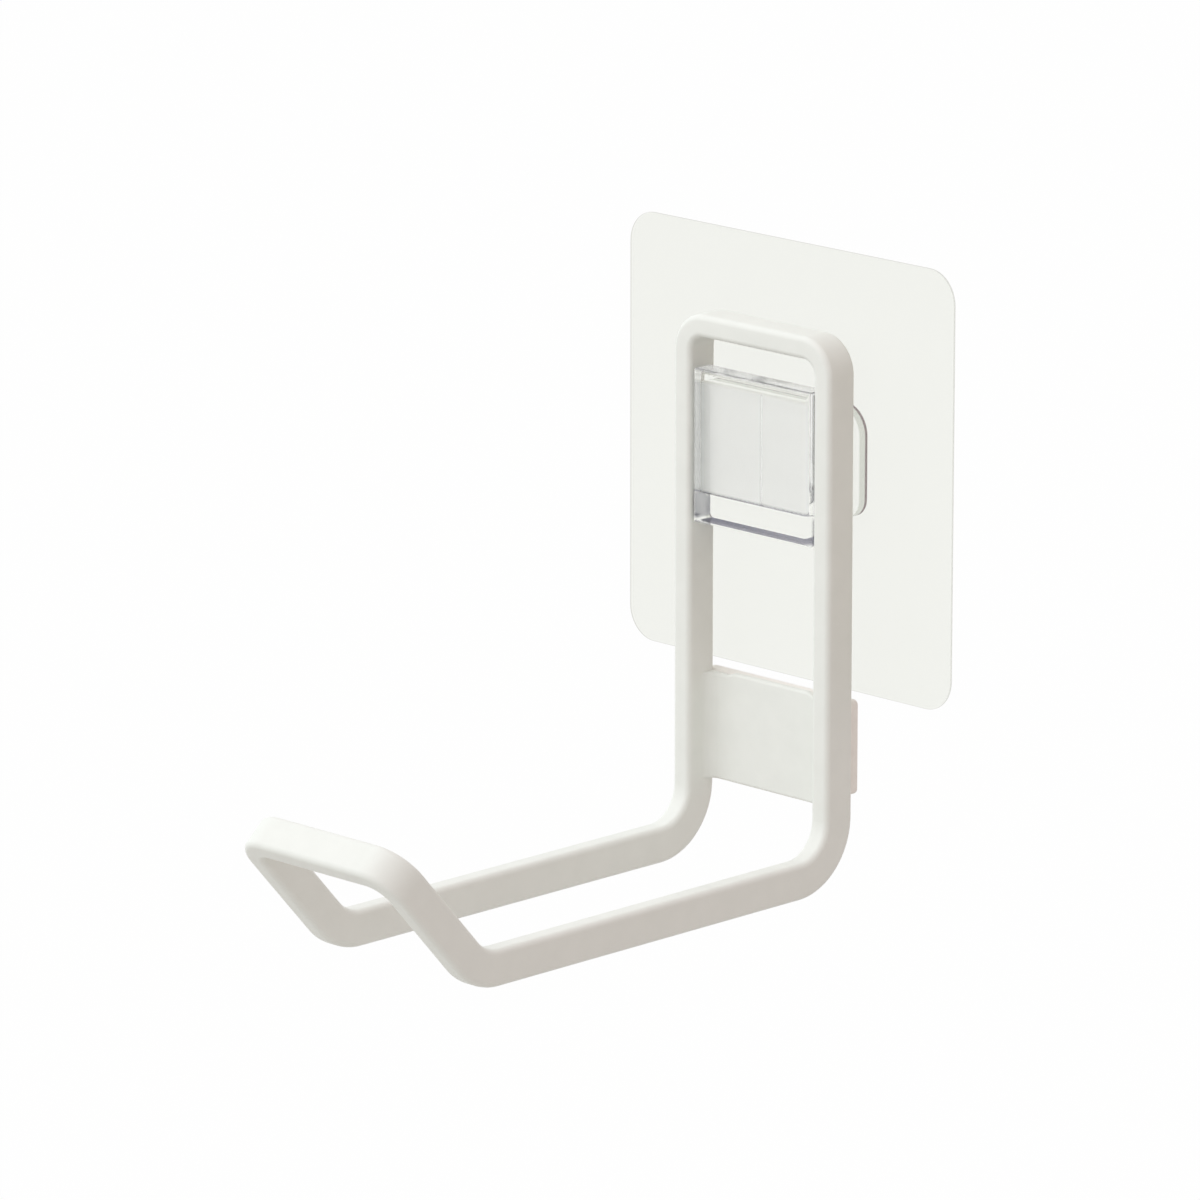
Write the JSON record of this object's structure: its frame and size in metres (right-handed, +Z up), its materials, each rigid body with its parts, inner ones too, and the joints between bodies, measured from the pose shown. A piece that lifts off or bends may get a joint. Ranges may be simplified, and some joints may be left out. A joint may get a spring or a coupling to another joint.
{
  "type": "adhesive hook",
  "caption": "Clear square adhesive film with a moulded holder, and a white bent-bar loop hook with an upturned tip that lifts out of the holder.",
  "frame": {"origin": "centre of the film's adhesive face, which lies on the wall", "axes": "+X right across the film, +Y into the wall, +Z up; the hook reaches out towards -Y"},
  "size_m": [0.08, 0.1193, 0.1152],
  "materials": {
    "white_coat": "satin powder coat",
    "clear_plastic": "clear polished",
    "clear_film": "clear satin film",
    "clear_glue": "clear tacky",
    "white_foam": "matt closed-cell foam"
  },
  "bodies": {
    "wall_mount": {"adhesive_layer": "clear_glue", "film_sheet": "clear_film", "holder_bond": "clear_glue", "film_holder": "clear_plastic"},
    "hook_frame": {"hook_loop": "white_coat", "hanger_plate": "white_coat", "stay_plate": "white_coat", "hanger_weld_left": "white_coat", "hanger_weld_right": "white_coat", "stay_weld_left": "white_coat", "stay_weld_right": "white_coat", "pad_tape": "clear_glue", "foam_pad": "white_foam"}
  },
  "joints": [
    {"name": "frame_lift", "type": "slide", "parent": "wall_mount", "child": "hook_frame", "axis": [0, 0, 1], "range_m": [0, 0.024]}
  ]
}
